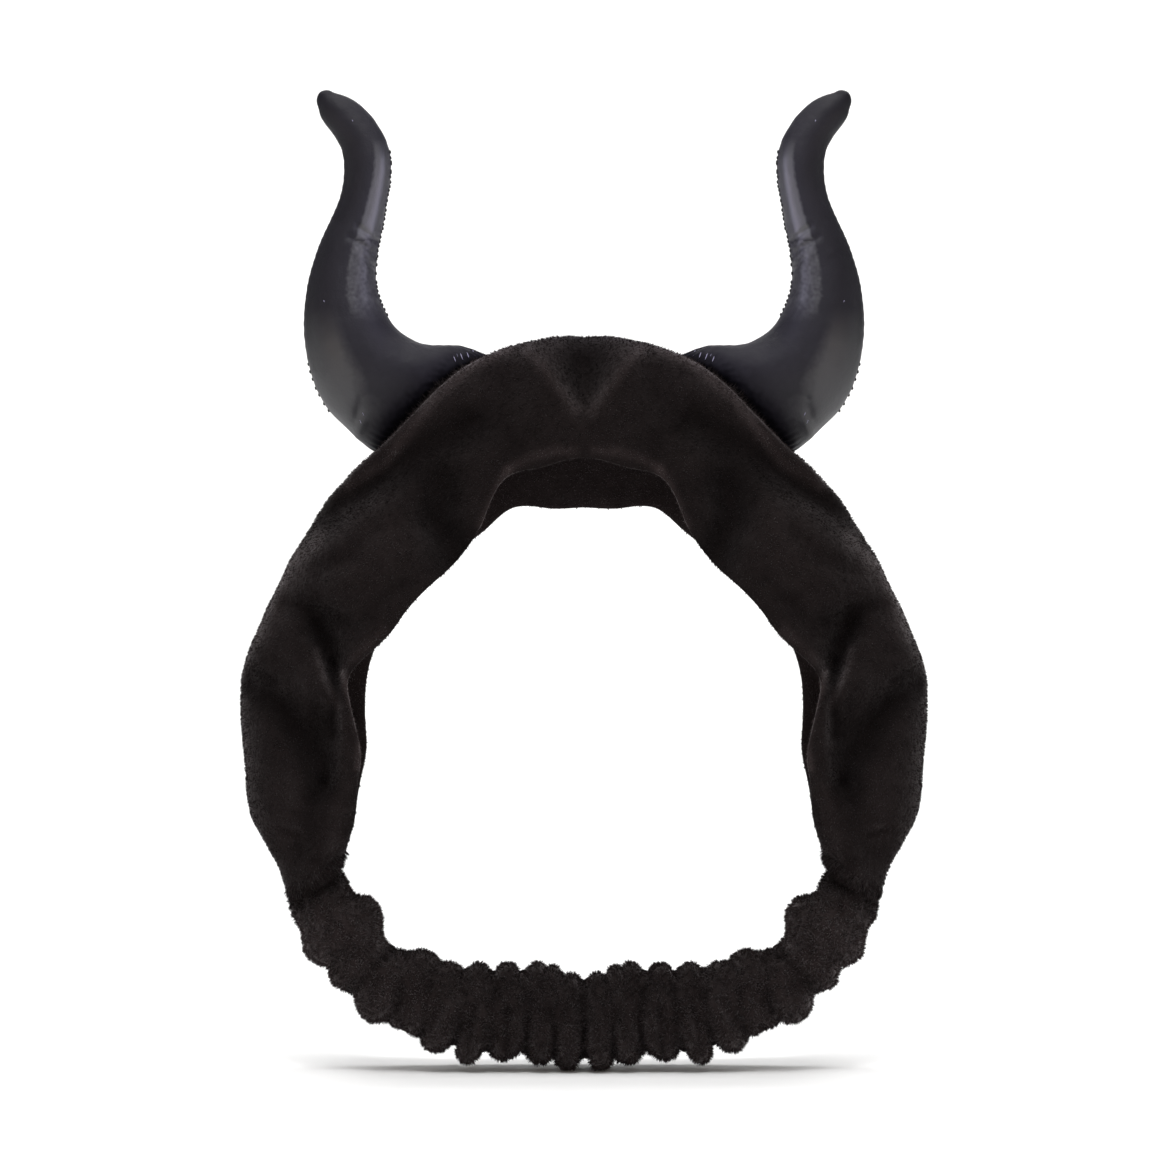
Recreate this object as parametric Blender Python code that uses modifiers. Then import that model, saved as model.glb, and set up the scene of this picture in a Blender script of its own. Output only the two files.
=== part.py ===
"""A horned headband: a cupped plush band, a gathered elastic back and two stuffed horns.

Metres, +Z up, the wearer's face towards -Y. The loop stands upright, as the band is worn, and is
mirrored about X = 0. The origin is on the inner face of the band at the top of the loop, where the
crown of the head meets it. Positions round the loop are angles from the top, in degrees.
"""

import math
from collections import namedtuple

import bmesh
import bpy
from mathutils import Vector

CLEARANCE = 0.0004

# The plush band: a flat strip, cupped along its length
CREST_RADIUS = 0.093
CUP_DROP = 0.035
HALF_DEPTH = 0.025
CLOTH = 0.003
FOLD_RISE = 0.004
PLEAT_RISE = 0.0011
NECK_PLEATS = 5

# The gathered back and the elastic inside it
CASING_THICK = 0.0190
CASING_WALL = 0.0026
GATHER_RISE = 0.0030
GATHER_SIDE_RISE = 0.35
ELASTIC_WIDTH = 0.020
ELASTIC_THICK = 0.0012
ELASTIC_TUCK = 0.006

# The stuffed horns
HORN_RISE = 0.082
HORN_GIRTH = 0.027
HORN_ANGLE = 26.0
HORN_ROOT_SPAN = 13.6
HORN_ROOT_RINGS = (0.35, 0.7, 1.0)

# How finely the surfaces are divided
BAND_STATIONS = 32
FRONT_STRIPS = 11
BACK_STRIPS = 7
CASING_SIDES = 16
HORN_SIDES = 14
HORN_RINGS = 19
ELASTIC_STEPS = 20

# Where the band is sewn to the gathered back, and how far its edges curl there
NECK_ANGLE = 122.0
NECK_CURL = 158.0
NECK_EASE = 0.0012
# The angle that the neck's pleats start from, and that between the band's last two rings
PLEATS_FROM = 107.0
LAST_RING_STEP = 1.2

# The strip's cross-section round the loop. crest is a share of CREST_RADIUS; ridge, front and back
# place the crest and the two edges in depth, as shares of HALF_DEPTH; front_turn and back_turn are
# how far the edges turn in towards the head, as shares of CUP_DROP; curl is in degrees.
Station = namedtuple("Station", "angle crest ridge front back front_turn back_turn curl")
BAND = (
    Station(0, 1.100, -0.10, 0.94, 1.00, 0.99, 1.36, 101),
    Station(10, 1.102, -0.22, 0.94, 1.00, 1.05, 1.35, 100),
    Station(18, 1.081, -0.36, 0.92, 1.00, 0.98, 1.21, 98),
    Station(27, 1.030, -0.42, 0.90, 1.00, 1.10, 1.13, 96),
    Station(35, 0.985, -0.38, 0.94, 1.00, 1.10, 1.04, 96),
    Station(45, 0.976, -0.26, 1.00, 1.00, 1.11, 1.02, 98),
    Station(56, 0.978, -0.10, 1.02, 1.00, 1.08, 1.00, 99),
    Station(66, 0.971, 0.00, 1.00, 1.00, 1.02, 0.93, 98),
    Station(74, 0.976, 0.00, 0.94, 1.00, 0.93, 0.90, 96),
    Station(79, 0.988, 0.00, 0.92, 1.00, 0.83, 0.92, 96),
    Station(84, 1.010, 0.00, 0.96, 1.00, 0.90, 0.98, 98),
    Station(90, 1.005, 0.00, 1.00, 1.00, 0.95, 0.97, 101),
    Station(100, 1.006, 0.00, 0.98, 0.96, 0.99, 0.97, 107),
    Station(107, 1.020, 0.00, 0.88, 0.86, 0.96, 0.92, 116),
    Station(113, 1.004, 0.00, 0.73, 0.72, 0.81, 0.77, 130),
    Station(118, 0.998, 0.00, 0.62, 0.62, 0.66, 0.63, 147),
)

# How square the cup is on each side of its crest: 2 is an ellipse
FRONT_SQUARENESS = 2.0
BACK_SQUARENESS = 2.3

# Folds and dents of the band. across runs from -1 at the front edge over 0 at the crest to 1 at the
# back edge; heading is in degrees from the loop's own direction, turning towards the back edge;
# length and width are shares of CUP_DROP; rise is a share of FOLD_RISE and is negative for a valley.
Fold = namedtuple("Fold", "angle across heading length width rise")
FOLDS = (
    Fold(5.5, -0.42, -70, 0.34, 0.13, 0.70),
    Fold(0.0, -0.52, -90, 0.40, 0.14, -0.70),
    Fold(12.0, -0.60, 0, 0.24, 0.22, -0.35),
    Fold(26.0, 0.26, 0, 0.62, 0.34, -0.65),
    Fold(42.0, -0.34, 10, 0.52, 0.15, -0.75),
    Fold(36.5, -0.76, -62, 0.30, 0.18, -0.80),
    Fold(54.0, -0.55, 25, 0.34, 0.24, 0.50),
    Fold(74.5, -0.70, -46, 0.34, 0.17, -1.20),
    Fold(82.0, -0.80, -46, 0.26, 0.11, 0.45),
    Fold(92.0, -0.68, -24, 0.42, 0.18, -1.15),
    Fold(80.0, -0.36, -40, 0.30, 0.16, 0.35),
    Fold(106.0, -0.52, 0, 0.32, 0.16, -0.55),
    Fold(60.0, 0.50, 30, 0.34, 0.18, -0.55),
    Fold(88.0, 0.45, -35, 0.40, 0.18, -0.75),
    Fold(10.0, 0.60, -60, 0.34, 0.16, -0.60),
)

# The gathered back's middle line and its thickness between the gathers, as shares of CREST_RADIUS
# and CASING_THICK.
Run = namedtuple("Run", "angle centre thick")
CASING = (
    Run(122, 0.916, 1.00),
    Run(126, 0.939, 0.92),
    Run(132, 0.954, 0.93),
    Run(140, 0.961, 0.87),
    Run(148, 0.947, 1.07),
    Run(155, 0.936, 1.10),
    Run(160, 0.915, 1.13),
    Run(165, 0.898, 1.16),
    Run(171, 0.878, 1.14),
    Run(180, 0.880, 1.16),
)

# One row for each gather of one half: where its ridge meets the inner and the outer side of the
# loop, and how far it stands up on each, as a share of GATHER_RISE.
Gather = namedtuple("Gather", "inner outer inner_rise outer_rise")
GATHERS = (
    Gather(123.6, 124.0, 0.10, 0.15),
    Gather(132.8, 131.4, 1.20, 0.55),
    Gather(142.0, 137.2, 0.05, 0.55),
    Gather(147.4, 143.6, 0.35, 1.15),
    Gather(152.3, 150.6, 0.45, 0.45),
    Gather(157.6, 155.4, 0.65, 0.80),
    Gather(163.4, 161.1, 0.75, 1.20),
    Gather(169.2, 166.6, 0.80, 0.75),
    Gather(173.4, 172.4, 0.55, 1.20),
    Gather(177.4, 177.6, 0.40, 1.15),
)
GATHER_PHASES = (0.0, 0.22, 0.5, 0.78)
GATHER_ROUNDNESS = 0.6

# The horn's rings from root to tip. out, up and back place a ring's centre from the root's centre,
# as shares of HORN_RISE; wide and deep are shares of HORN_GIRTH; tilt is the ring's slope in degrees.
Ring = namedtuple("Ring", "out up back wide deep tilt")
HORN = (
    Ring(0.124, 0.080, -0.010, 1.46, 1.00, 36.0),
    Ring(0.180, 0.095, -0.022, 1.33, 0.98, 32.0),
    Ring(0.231, 0.134, -0.035, 1.18, 0.94, 26.0),
    Ring(0.276, 0.194, -0.045, 1.02, 0.88, 21.0),
    Ring(0.300, 0.256, -0.050, 0.92, 0.82, 14.0),
    Ring(0.315, 0.319, -0.050, 0.84, 0.76, 8.0),
    Ring(0.322, 0.388, -0.050, 0.75, 0.70, 4.0),
    Ring(0.313, 0.457, -0.048, 0.68, 0.64, 0.0),
    Ring(0.295, 0.534, -0.045, 0.63, 0.58, -4.0),
    Ring(0.269, 0.604, -0.042, 0.57, 0.54, -6.0),
    Ring(0.248, 0.683, -0.040, 0.52, 0.50, -3.0),
    Ring(0.236, 0.755, -0.038, 0.51, 0.49, 4.0),
    Ring(0.234, 0.824, -0.036, 0.53, 0.48, 14.0),
    Ring(0.251, 0.887, -0.034, 0.48, 0.44, 24.0),
    Ring(0.286, 0.938, -0.032, 0.44, 0.39, 32.0),
    Ring(0.330, 0.982, -0.030, 0.39, 0.33, 36.0),
    Ring(0.360, 1.007, -0.030, 0.28, 0.24, 38.0),
    Ring(0.375, 1.026, -0.030, 0.16, 0.14, 40.0),
)
# The root's middle and its half breadth, both on the across scale of the folds, and how far the tip
# stands past the last ring, as a share of HORN_RISE
HORN_ROOT_MIDDLE = 0.27
HORN_ROOT_SPREAD = 0.23
HORN_TIP_REACH = 0.012

# Base colours of the materials, as linear RGB
PLUSH_BLACK = (0.006, 0.005, 0.005)
HORN_CHARCOAL = (0.020, 0.019, 0.023)
ELASTIC_BLACK = (0.012, 0.012, 0.012)


def between(rows, angle):
    """The table's row at an angle, on a smooth curve through its rows that is level at both ends."""
    last = len(rows) - 1
    spot = max(i for i in range(last) if rows[i].angle <= angle or i == 0)
    low, high = rows[spot], rows[spot + 1]
    gap = high.angle - low.angle
    share = min(max((angle - low.angle) / gap, 0.0), 1.0)
    values = []
    for column in range(len(low)):
        slopes = []
        for i in (spot, spot + 1):
            if i in (0, last):
                slopes.append(0.0)
                continue
            run = rows[i + 1].angle - rows[i - 1].angle
            slopes.append((rows[i + 1][column] - rows[i - 1][column]) / run * gap)
        values.append(hermite(low[column], high[column], slopes[0], slopes[1], share))
    return type(low)(*values)


def hermite(start, end, start_slope, end_slope, share):
    square, cube = share**2, share**3
    return (
        start * (2 * cube - 3 * square + 1)
        + start_slope * (cube - 2 * square + share)
        + end * (3 * square - 2 * cube)
        + end_slope * (cube - square)
    )


def outward(angle):
    """The direction from the loop's centre at an angle from the top, on the -X side."""
    turn = math.radians(angle)
    if angle in (0, 180):
        return Vector((0, 0, math.cos(turn)))
    return Vector((-math.sin(turn), 0, math.cos(turn)))


# Depths and radii that two pieces share
casing_half_depth = ELASTIC_WIDTH / 2 + CLEARANCE + CASING_WALL
neck = between(CASING, NECK_ANGLE)
neck_half_thick = neck.thick * CASING_THICK / 2
neck_turn = neck_half_thick * (1 - math.cos(math.radians(NECK_CURL))) / CUP_DROP
neck_depth = (casing_half_depth + NECK_EASE) / HALF_DEPTH
neck_crest = neck.centre + neck_half_thick / CREST_RADIUS
STATIONS = BAND + (
    Station(NECK_ANGLE, neck_crest, 0.0, neck_depth, neck_depth, neck_turn, neck_turn, NECK_CURL),
)
loop_centre = Vector((0, 0, CLOTH - STATIONS[0].crest * CREST_RADIUS))
# The flat width of half the strip, taken as a quarter of an ellipse
half_strip = math.hypot(CUP_DROP, HALF_DEPTH) * math.pi / 2 / math.sqrt(2)


def rounded(value, squareness):
    """A sine or cosine bent from an ellipse's towards a squarer shape's."""
    return math.copysign(abs(value) ** (2 / squareness), value)


def cup_point(angle, across):
    """A point of the strip's outer face, before its folds."""
    at = between(STATIONS, angle)
    curl = math.radians(at.curl)
    turned = abs(across) * curl
    front = across < 0
    squareness = FRONT_SQUARENESS if front else BACK_SQUARENESS
    turn = at.front_turn if front else at.back_turn
    reach = at.front + at.ridge if front else at.back - at.ridge
    drop = turn * CUP_DROP * (1 - rounded(math.cos(turned), squareness))
    drop /= 1 - rounded(math.cos(curl), squareness)
    depth = reach * HALF_DEPTH * rounded(math.sin(turned), squareness)
    point = loop_centre + outward(angle) * (at.crest * CREST_RADIUS - drop)
    point.y = at.ridge * HALF_DEPTH + (-depth if front else depth)
    return point


def fold_height(angle, across):
    """How far the folds push the strip's outer face out, or in where it is negative."""
    height = 0.0
    for fold in FOLDS:
        aside = (across - fold.across) * half_strip
        heading = math.radians(fold.heading)
        for mirror in (1, -1):
            run = math.radians(mirror * angle - fold.angle) * CREST_RADIUS
            forward = run * math.cos(heading) + aside * math.sin(heading)
            sideways = aside * math.cos(heading) - run * math.sin(heading)
            far = (forward / fold.length) ** 2 + (sideways / fold.width) ** 2
            height += fold.rise * FOLD_RISE * math.exp(-far / CUP_DROP**2)
    gathered = max(0.0, (angle - PLEATS_FROM) / (NECK_ANGLE - PLEATS_FROM))
    ripple = math.cos(math.tau * NECK_PLEATS * across / 2)
    return height - PLEAT_RISE * gathered * (1 - gathered) * 4 * ripple


def strip_normal(angle, across, step=0.01):
    """The outward normal of the unfolded strip, from points a small step apart."""
    along = cup_point(angle + step, across) - cup_point(max(angle - step, 0), across)
    over = cup_point(angle, across + step) - cup_point(angle, across - step)
    normal = over.cross(along).normalized()
    if angle == 0:
        normal.x = 0
    return normal.normalized()


def strip_point(angle, across, lift=0.0):
    """A point of the strip's outer face, or at a height above it."""
    height = fold_height(angle, across) + lift
    return cup_point(angle, across) + strip_normal(angle, across) * height


def casing_point(gather, phase, side, inset=0.0):
    """A point of the gathered back, on a ring that follows the gather's own slanting line."""
    before, here, after = GATHER_LINES[gather : gather + 3]
    turn = math.tau * side / CASING_SIDES
    outer_share = (1 - math.cos(turn)) / 2

    def placed(row):
        return row.inner + (row.outer - row.inner) * outer_share

    start = (placed(before) + placed(here)) / 2 if gather else NECK_ANGLE
    end = (placed(here) + placed(after)) / 2 if gather < len(GATHERS) - 1 else 180.0
    middle = placed(here)
    if phase < 0.5:
        angle = start + (middle - start) * phase * 2
    else:
        angle = middle + (end - middle) * (phase * 2 - 1)
    rise_share = here.inner_rise + (here.outer_rise - here.inner_rise) * outer_share
    rise_share += GATHER_SIDE_RISE * math.sin(turn) ** 2
    rise = GATHER_RISE * rise_share * max(math.sin(math.pi * phase), 0.0) ** GATHER_ROUNDNESS
    at = between(CASING, angle)
    half_thick = at.thick * CASING_THICK / 2 + rise - inset
    half_depth = casing_half_depth + rise - inset
    radius = at.centre * CREST_RADIUS - half_thick * math.cos(turn)
    point = loop_centre + outward(angle) * radius
    point.y = -half_depth * math.sin(turn)
    return point


# The gathers with a row before the first and after the last, so that each has two neighbours
GATHER_LINES = (GATHERS[0],) + GATHERS + (GATHERS[-1],)


def casing_rings(inset):
    """The rings of one half of the gathered back, from the neck to the bottom of the loop."""
    rings = []
    for gather in range(len(GATHERS)):
        for phase in GATHER_PHASES:
            sides = range(CASING_SIDES)
            rings.append([casing_point(gather, phase, side, inset) for side in sides])
    last = len(GATHERS) - 1
    rings.append([casing_point(last, 1.0, side, inset) for side in range(CASING_SIDES)])
    return rings


def horn_rings(side):
    """The horn's rings from its root, which follows the band, to its tip."""
    rings = []
    sides = [math.tau * i / HORN_SIDES for i in range(HORN_SIDES)]
    for share in HORN_ROOT_RINGS:
        ring = []
        for turn in sides:
            angle = HORN_ANGLE + HORN_ROOT_SPAN * share * math.cos(turn)
            across = HORN_ROOT_MIDDLE - HORN_ROOT_SPREAD * share * math.sin(turn)
            ring.append(strip_point(angle, across, CLEARANCE))
        rings.append(ring)
    root = strip_point(HORN_ANGLE, HORN_ROOT_MIDDLE, CLEARANCE)
    rows = [row_with_angle(i, row) for i, row in enumerate(HORN)]
    for i in range(HORN_RINGS):
        at = between(rows, i * (len(HORN) - 1) / (HORN_RINGS - 1))
        centre = root + Vector((-at.out, at.back, at.up)) * HORN_RISE
        slope = math.radians(at.tilt)
        wide = Vector((-math.cos(slope), 0, -math.sin(slope))) * at.wide * HORN_GIRTH / 2
        deep = Vector((0, -1, 0)) * at.deep * HORN_GIRTH / 2
        rings.append([centre + wide * math.cos(turn) + deep * math.sin(turn) for turn in sides])
    tip_slope = math.radians(HORN[-1].tilt)
    tip_way = Vector((-math.sin(tip_slope), 0, math.cos(tip_slope)))
    tip = sum(rings[-1], Vector()) / HORN_SIDES + tip_way * HORN_TIP_REACH * HORN_RISE
    mirrored = [[Vector((side * -p.x, p.y, p.z)) for p in ring] for ring in rings]
    ends = [Vector((side * -p.x, p.y, p.z)) for p in (root, tip)]
    return mirrored, ends


HornRow = namedtuple("HornRow", "angle out up back wide deep tilt")


def row_with_angle(place, row):
    """The horn's row with its place in the table as its angle, so that between() can read it."""
    return HornRow(place, *row)


def loft(mesh, rings, closed=True):
    """Quads between rings of points, and the rings of vertices that they join."""
    made = [[mesh.verts.new(point) for point in ring] for ring in rings]
    for low, high in zip(made, made[1:]):
        count = len(low)
        for i in range(count if closed else count - 1):
            j = (i + 1) % count
            mesh.faces.new((low[i], low[j], high[j], high[i]))
    return made


def new_object(name, mesh, material, collection):
    """An object from a bmesh, smooth, with its faces turned outwards."""
    bmesh.ops.recalc_face_normals(mesh, faces=mesh.faces)
    data = bpy.data.meshes.new(name)
    mesh.to_mesh(data)
    mesh.free()
    data.shade_smooth()
    data.materials.append(material)
    made = bpy.data.objects.new(name, data)
    collection.objects.link(made)
    return made


def mirrored_at_x(made):
    mirror = made.modifiers.new("Mirror", "MIRROR")
    mirror.use_clip = True
    mirror.merge_threshold = 0.00001


def new_material(name, colour, roughness, sheen=0.0):
    material = bpy.data.materials.new(name)
    material.use_nodes = True
    shader = material.node_tree.nodes["Principled BSDF"]
    shader.inputs["Base Color"].default_value = (*colour, 1)
    shader.inputs["Roughness"].default_value = roughness
    shader.inputs["Metallic"].default_value = 0.0
    shader.inputs["Sheen Weight"].default_value = sheen
    return material


def make_band(material, collection):
    """The cupped strip: rings that run out along its outer face and back along its inner one."""
    front = [-1 + i / FRONT_STRIPS for i in range(FRONT_STRIPS)]
    back = [i / BACK_STRIPS for i in range(BACK_STRIPS + 1)]
    shares = front + back
    end = NECK_ANGLE - math.degrees(CLEARANCE / CREST_RADIUS)
    angles = [end * (i / BAND_STATIONS) for i in range(BAND_STATIONS + 1)]
    angles.insert(-1, end - LAST_RING_STEP)
    rings = []
    for angle in angles:
        ring = [strip_point(angle, across) for across in shares]
        ring += [strip_point(angle, across, -CLOTH) for across in reversed(shares)]
        if angle == 0:
            for point in ring:
                point.x = 0
        rings.append(ring)
    mesh = bmesh.new()
    made = loft(mesh, rings)
    last, count = made[-1], len(made[-1])
    for i in range(len(shares) - 1):
        mesh.faces.new((last[i], last[i + 1], last[count - 2 - i], last[count - 1 - i]))
    made = new_object("band", mesh, material, collection)
    mirrored_at_x(made)


def make_gathered_back(material, collection):
    """The gathered casing: an outer and an inner skin that follow the same gathers, open at each end."""
    mesh = bmesh.new()
    outer = loft(mesh, casing_rings(0.0))
    inner = loft(mesh, casing_rings(CASING_WALL))
    for i in range(CASING_SIDES):
        j = (i + 1) % CASING_SIDES
        mesh.faces.new((outer[0][i], outer[0][j], inner[0][j], inner[0][i]))
    made = new_object("gathered_back", mesh, material, collection)
    mirrored_at_x(made)


def tube_radius(angle):
    """How far the middle of the casing, or of the band's neck, is from the loop's centre."""
    if angle > NECK_ANGLE:
        return between(CASING, angle).centre * CREST_RADIUS
    at = between(STATIONS, angle)
    return at.crest * CREST_RADIUS - at.front_turn * CUP_DROP / (1 - math.cos(math.radians(at.curl)))


def make_elastic(material, collection):
    """The flat elastic along the middle of the casing, its ends tucked into the band's necks."""
    tuck = math.degrees(ELASTIC_TUCK / CREST_RADIUS)
    start = NECK_ANGLE - tuck
    edge = ELASTIC_WIDTH / 2
    rings = []
    for i in range(ELASTIC_STEPS + 1):
        angle = start + (180.0 - start) * i / ELASTIC_STEPS
        middle = loop_centre + outward(angle) * tube_radius(angle)
        rings.append([middle + Vector((0, side * edge, 0)) for side in (-1, 1)])
    mesh = bmesh.new()
    loft(mesh, rings, closed=False)
    made = new_object("elastic", mesh, material, collection)
    mirrored_at_x(made)
    wall = made.modifiers.new("Solidify", "SOLIDIFY")
    wall.thickness = ELASTIC_THICK
    wall.offset = 0


def make_horn(name, side, material, collection):
    """A stuffed horn whose root lies on the band: rings lofted from the root's middle to the tip."""
    rings, ends = horn_rings(side)
    mesh = bmesh.new()
    made = loft(mesh, rings)
    for ring, end in zip((made[0], made[-1]), ends):
        point = mesh.verts.new(end)
        for i in range(HORN_SIDES):
            mesh.faces.new((ring[i], ring[(i + 1) % HORN_SIDES], point))
    new_object(name, mesh, material, collection)


def main():
    for old in list(bpy.data.objects):
        bpy.data.objects.remove(old)
    collection = bpy.data.collections.new("horned_headband")
    bpy.context.scene.collection.children.link(collection)
    plush = new_material("black_plush", PLUSH_BLACK, 0.95, sheen=0.4)
    satin = new_material("black_coated_satin", HORN_CHARCOAL, 0.42)
    woven = new_material("black_elastic", ELASTIC_BLACK, 0.8)
    make_band(plush, collection)
    make_gathered_back(plush, collection)
    make_elastic(woven, collection)
    make_horn("horn_left", -1, satin, collection)
    make_horn("horn_right", 1, satin, collection)


main()
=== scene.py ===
"""The looks of the horned headband: plush with its pile, the gathered back and the satin horns.

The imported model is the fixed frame. Each soft piece starts as a finer copy of its own solid, takes
its smaller folds from short tables, and is then covered with pile or finished with its seams.
"""

import math
from collections import namedtuple

import bmesh
import bpy
import numpy as np
from mathutils import Matrix, Vector, noise
from mathutils.bvhtree import BVHTree


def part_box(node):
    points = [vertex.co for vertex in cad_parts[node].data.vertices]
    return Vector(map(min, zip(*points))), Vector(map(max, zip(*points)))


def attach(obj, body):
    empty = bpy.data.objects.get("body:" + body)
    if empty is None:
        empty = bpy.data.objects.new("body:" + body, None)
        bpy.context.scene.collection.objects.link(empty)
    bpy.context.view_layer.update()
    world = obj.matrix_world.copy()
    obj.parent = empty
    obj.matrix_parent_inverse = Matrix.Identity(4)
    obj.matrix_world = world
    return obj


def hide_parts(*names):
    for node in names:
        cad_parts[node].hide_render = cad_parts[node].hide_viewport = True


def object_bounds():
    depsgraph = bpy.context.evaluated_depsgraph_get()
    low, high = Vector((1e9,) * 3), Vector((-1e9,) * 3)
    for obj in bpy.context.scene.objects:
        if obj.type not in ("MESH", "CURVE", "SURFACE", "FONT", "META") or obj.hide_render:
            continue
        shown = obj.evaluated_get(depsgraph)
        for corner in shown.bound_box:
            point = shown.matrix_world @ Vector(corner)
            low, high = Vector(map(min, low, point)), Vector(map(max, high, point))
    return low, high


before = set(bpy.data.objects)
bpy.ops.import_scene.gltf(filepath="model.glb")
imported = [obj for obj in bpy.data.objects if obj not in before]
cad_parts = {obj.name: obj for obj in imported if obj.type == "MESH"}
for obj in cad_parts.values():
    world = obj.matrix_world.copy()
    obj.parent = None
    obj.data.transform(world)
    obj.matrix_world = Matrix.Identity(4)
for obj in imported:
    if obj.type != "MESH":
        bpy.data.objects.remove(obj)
cad_low, cad_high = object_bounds()

MM = 0.001

# The photograph: its side in pixels, the size of a pixel on the object, the camera's distance, and
# the camera's sensor in millimetres
PHOTO_SIDE = 1170
PIXEL = 0.27 * MM
CAMERA_DISTANCE = 1.15
SENSOR = 36.0
# Where the photograph's middle is, in pixels across and down from the top of the band
PHOTO_MIDDLE_ACROSS = 1.0
PHOTO_MIDDLE_DOWN = 250.0

# The middle of the loop, which angles are measured round, and the gathered back's middle line and
# width as seen from the front
LOOP_CENTRE = Vector((0, 0, -0.0993))
LOOP_MIDDLE_LINE = 86 * MM
CASING_WIDTH = 22 * MM

# Uneven waves: their size, and their height in metres or as a share
Waves = namedtuple("Waves", "size height")

# The neck, where the band is sewn to the gathered back: its angle from the loop's top, in degrees
NECK_ANGLE = 122.0
# How far the band's lip is drawn over the gathered back's mouth, how far the mouth is tucked in, by
# what share each is drawn together, how far from the neck all this fades out, and how many degrees
# of the tube are taken as its mouth
NECK_OVERLAP = 1.8 * MM
MOUTH_TUCK = 4.0 * MM
MOUTH_SHRINK = 0.27
LIP_SHRINK = 0.19
NECK_BLEND = 5.0 * MM
MOUTH_RING = 1

# Creases seen from the front, on one half. route is in millimetres across and up from the band's
# inner face at the top, width and depth are in millimetres, and a negative depth is a ridge.
Crease = namedtuple("Crease", "width depth route")
# They press into the front half only, and fade out over a depth that starts at a share of itself
FRONT_EDGE = 0.3
FRONT_FADE = 6.0 * MM
# The band's
BAND_CREASES = (
    Crease(2.0, -1.2, ((8, 3), (22, 1), (33, -5), (45, -15), (53, -27), (62, -35))),
    Crease(5.0, 4.5, ((30, -22), (42, -29), (54, -37), (66, -45), (76, -50))),
    Crease(5.5, 5.2, ((38, -38), (39, -48), (35, -57))),
    Crease(2.4, -1.0, ((16, 0), (9, -9), (2, -20))),
    Crease(6.5, 1.2, ((0, 2), (0, -4))),
    Crease(3.4, 0.9, ((0, -6), (0, -14))),
    Crease(5.0, 1.4, ((20, -10), (22, -22), (17, -32))),
    Crease(3.0, 2.2, ((79, -70), (71, -71), (64, -74))),
    Crease(3.8, 5.0, ((71, -75), (68.5, -80), (66.5, -87))),
    Crease(2.0, 2.4, ((67, -86), (66, -96), (66, -104))),
    Crease(1.5, -1.2, ((74, -80), (70, -88), (67.5, -96))),
    Crease(4.4, 4.6, ((88, -92), (82, -96), (76, -104), (71, -112), (69, -118))),
    Crease(3.4, 2.2, ((70, -97), (69, -106), (68, -116))),
    Crease(1.6, -1.0, ((64, -100), (63, -110), (66, -117), (70, -124))),
    Crease(3.4, 1.6, ((70, -118), (73, -126), (74, -134))),
    Crease(1.2, 0.9, ((90, -87), (85, -88), (82, -90))),
    Crease(1.1, 0.8, ((80, -130), (76, -131))),
    Crease(1.1, 0.8, ((72, -138), (67, -140))),
    Crease(3.2, 1.5, ((56, -50), (62, -57), (70, -60))),
    Crease(2.6, 1.1, ((48, -64), (55, -70), (60, -76))),
)
# Painted highlights and painted shade in the pile, in the same terms: a negative depth is lighter
PAINTED_LIGHT_STROKES = (
    Crease(1.0, -13.0, ((64, -88), (61, -97), (59, -106), (60, -113))),
    Crease(1.2, -11.0, ((20, -34), (22.5, -38), (24.5, -43), (27, -49))),
    Crease(1.3, -9.0, ((3, -29), (9, -29.5), (15, -31), (20, -34))),
    Crease(1.5, -6.0, ((53, -77), (60, -83), (64, -87))),
    Crease(3.5, -4.5, ((72, -52), (80, -62), (86, -76))),
    Crease(1.7, -9.0, ((20, -1), (30, -6), (40, -15), (47, -24), (53, -32), (63, -38))),
    Crease(1.6, -6.0, ((15, -2), (9, -9), (2, -18))),
    Crease(5.0, 4.0, ((0, 5), (0, -8))),
    Crease(7.0, -2.2, ((58, -46), (50, -52), (60, -60))),
    Crease(1.0, -6.0, ((71, -82), (69.5, -88), (65, -97))),
    Crease(2.6, -4.0, ((64, -119), (66, -128), (67, -134))),
    Crease(5.0, -2.0, ((80, -118), (78, -130))),
)
# The gathered back's, down its front
GATHER_CREASES = (
    Crease(9.0, -1.6, ((62, -155), (60, -157))),
    Crease(2.4, 2.2, ((76, -150), (70, -146), (63, -144))),
    Crease(2.2, 2.0, ((52, -163), (63, -173))),
    Crease(1.8, 1.6, ((49, -171), (52, -183))),
    Crease(1.5, 1.2, ((41, -172), (44, -186))),
    Crease(1.8, 1.6, ((32, -174), (35, -188))),
    Crease(1.4, 1.1, ((29, -178), (31, -189))),
    Crease(1.8, 1.6, ((24, -174), (27, -190))),
    Crease(1.4, 1.2, ((20, -178), (21, -191))),
    Crease(1.8, 1.6, ((16, -174), (15, -190))),
    Crease(1.4, 1.2, ((9, -178), (8, -191))),
    Crease(2.0, 2.2, ((0, -170), (0, -191))),
)
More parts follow.
